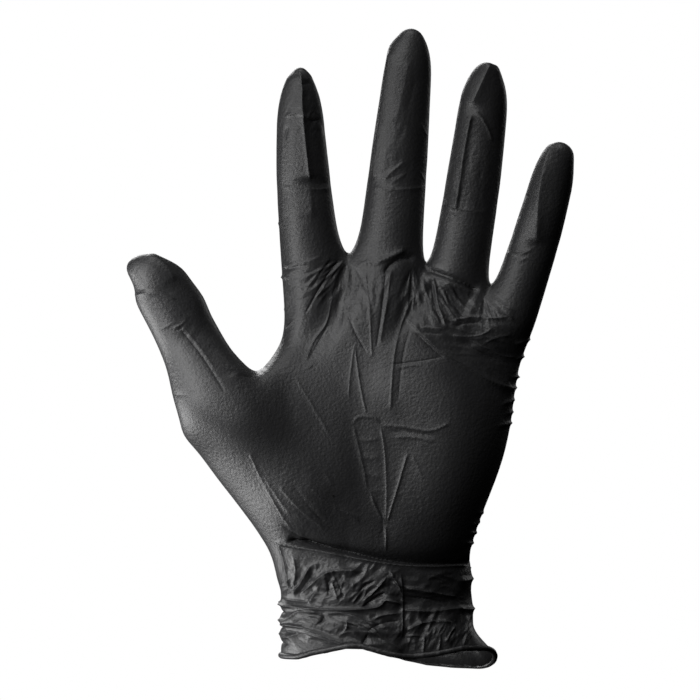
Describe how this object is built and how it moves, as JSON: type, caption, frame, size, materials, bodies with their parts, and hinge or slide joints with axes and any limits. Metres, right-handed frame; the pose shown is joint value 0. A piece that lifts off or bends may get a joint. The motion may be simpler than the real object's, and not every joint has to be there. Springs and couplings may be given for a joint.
{
  "type": "nitrile exam glove",
  "caption": "Thin seamless glove in the form an open left hand gives it: palm, four fingers, spread thumb, gathered cuff and rolled bead, hollow and open at the wrist.",
  "frame": {"origin": "middle of the wrist, at the line where the palm's heel meets the cuff", "axes": "+Z from the wrist to the fingertips, -Y out of the palm, -X towards the thumb"},
  "size_m": [0.1627, 0.0516, 0.2359],
  "materials": {
    "nitrile": "satin"
  },
  "bodies": {
    "root": {"glove": "nitrile"}
  },
  "joints": []
}
